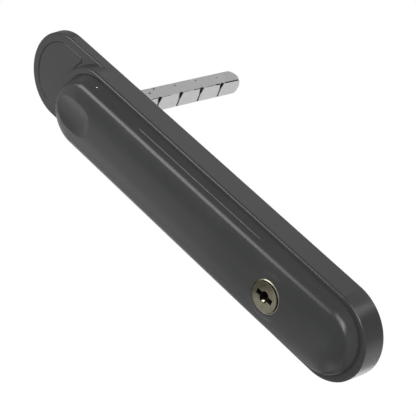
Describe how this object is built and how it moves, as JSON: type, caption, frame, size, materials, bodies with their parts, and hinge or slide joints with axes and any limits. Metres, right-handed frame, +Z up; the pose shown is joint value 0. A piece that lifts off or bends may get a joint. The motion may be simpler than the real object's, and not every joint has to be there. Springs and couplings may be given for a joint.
{
  "type": "bifold door handle",
  "caption": "Flush folding lever handle for a bifold door, with a key lock in the lever, a covered fixing screw and a square spindle.",
  "frame": {"origin": "where the spindle axis meets the mounting plane, at the back of the base", "axes": "+X to the right seen from the front, +Y into the door along the spindle, +Z up along the handle towards the covered end"},
  "size_m": [0.037, 0.0911, 0.2],
  "materials": {
    "powder_coat": "satin anthracite powder coat on a zinc casting",
    "zinc": "plain die-cast zinc",
    "zinc_steel": "zinc-plated steel",
    "steel": "bright steel",
    "nickel": "dull nickel silver",
    "brass": "bright brass",
    "nylon": "natural nylon",
    "rubber": "black rubber"
  },
  "bodies": {
    "base": {"base_housing": "powder_coat", "screw_cap": "powder_coat", "rotor_bush": "nylon", "rest_buffers": "rubber"},
    "rotor": {"rotor": "zinc", "spindle": "zinc_steel", "spindle_pin": "steel", "thrust_washer": "nylon", "wave_washer": "steel", "circlip": "steel"},
    "lever": {"lever": "powder_coat", "hinge_pin": "steel", "hinge_washers": "nylon", "hinge_spacer": "steel", "fold_spring": "steel", "lever_back_plate": "zinc_steel", "back_plate_screws": "steel", "lock_sleeve": "nickel", "lock_nut": "steel"},
    "lock_plug": {"lock_plug": "nickel", "lock_wafers": "brass", "key_guide_pin": "brass", "lock_cam": "steel", "cam_screw": "steel"},
    "lock_bar": {"lock_bar": "zinc_steel"}
  },
  "joints": [
    {"name": "spindle_turn", "type": "hinge", "parent": "base", "child": "rotor", "pos_m": [0, 0, 0], "axis": [0, 1, 0], "range_deg": [0, 180]},
    {"name": "lever_fold", "type": "hinge", "parent": "rotor", "child": "lever", "pos_m": [0, -0.012, -0.002], "axis": [-1, 0, 0], "range_deg": [0, 27], "stiffness_Nm_per_rad": 0.12, "springref_deg": -28.65, "deforming": ["fold_spring"]},
    {"name": "key_turn", "type": "hinge", "parent": "lever", "child": "lock_plug", "pos_m": [0, -0.01808, -0.1139], "axis": [0, 1, 0], "range_deg": [0, 90]},
    {"name": "lock_bar_slide", "type": "slide", "parent": "lever", "child": "lock_bar", "axis": [0, 0, 1], "range_m": [0, 0.00255]}
  ],
  "couplings": [
    {"joint": "key_turn", "follows": "lock_bar_slide", "rad_per_m": 617.06}
  ]
}
